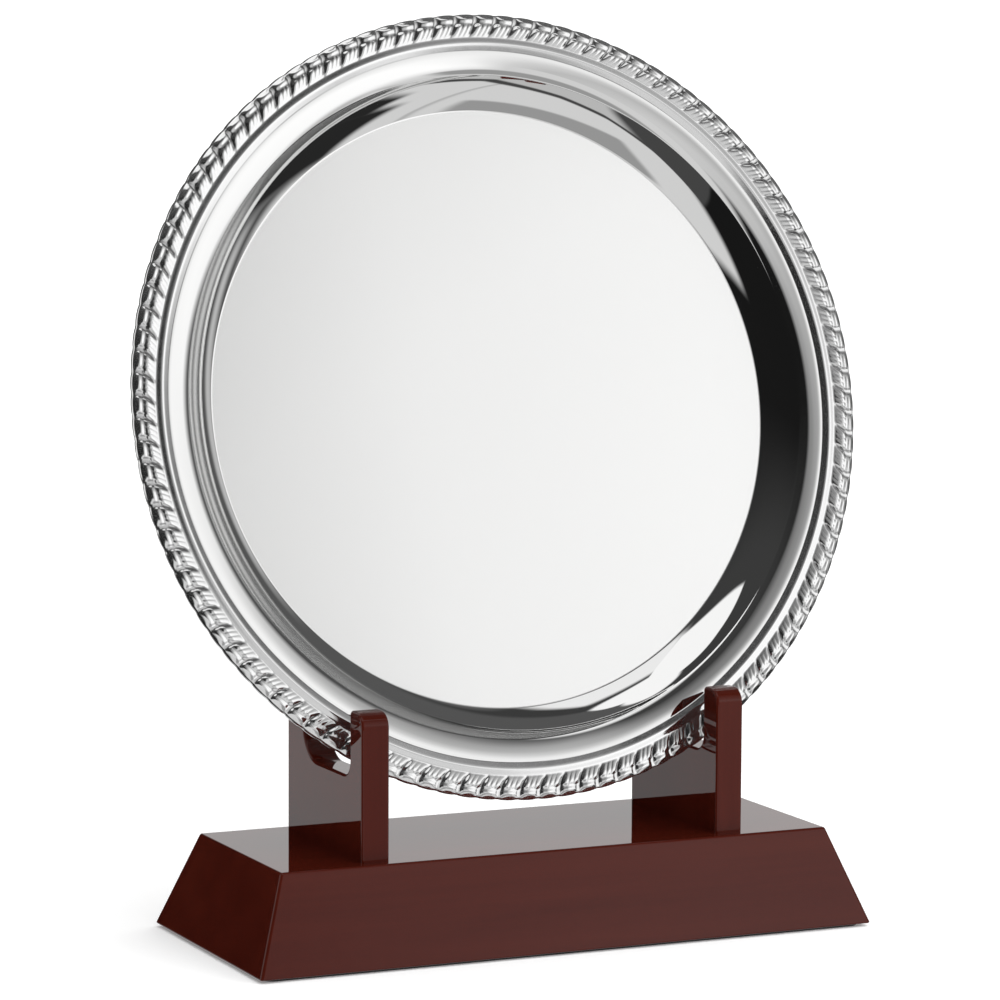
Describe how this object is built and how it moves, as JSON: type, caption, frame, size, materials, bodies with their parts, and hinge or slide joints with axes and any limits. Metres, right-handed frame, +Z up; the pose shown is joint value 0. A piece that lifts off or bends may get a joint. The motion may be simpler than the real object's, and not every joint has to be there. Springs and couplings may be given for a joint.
{
  "type": "salver on stand",
  "caption": "Round silver salver with a gadroon border, leaning in the notches of two uprights on a lacquered wooden plinth.",
  "frame": {"origin": "middle of the plinth's underside, on the surface it stands on", "axes": "+X to the viewer's right along the plinth, +Y to the back, away from the salver's face, +Z up"},
  "size_m": [0.254, 0.092, 0.2931],
  "materials": {
    "silver_plate": "mirror-polished silver plate",
    "silver_border": "polished silver plate, slightly darker in the recesses",
    "lacquered_wood": "dark mahogany stain under high-gloss lacquer",
    "baize": "black felted baize",
    "zinc_steel": "zinc-plated wood screws"
  },
  "bodies": {
    "stand": {"base_block": "lacquered_wood", "base_felt": "baize", "upright_left": "lacquered_wood", "upright_right": "lacquered_wood", "screws_left": "zinc_steel", "screws_right": "zinc_steel"},
    "salver": {"salver_body": "silver_plate", "gadroon_border": "silver_border"}
  },
  "joints": [
    {"name": "salver_lift", "type": "slide", "parent": "stand", "child": "salver", "axis": [0, 0.2106, 0.9776], "range_m": [0, 0.13]}
  ]
}
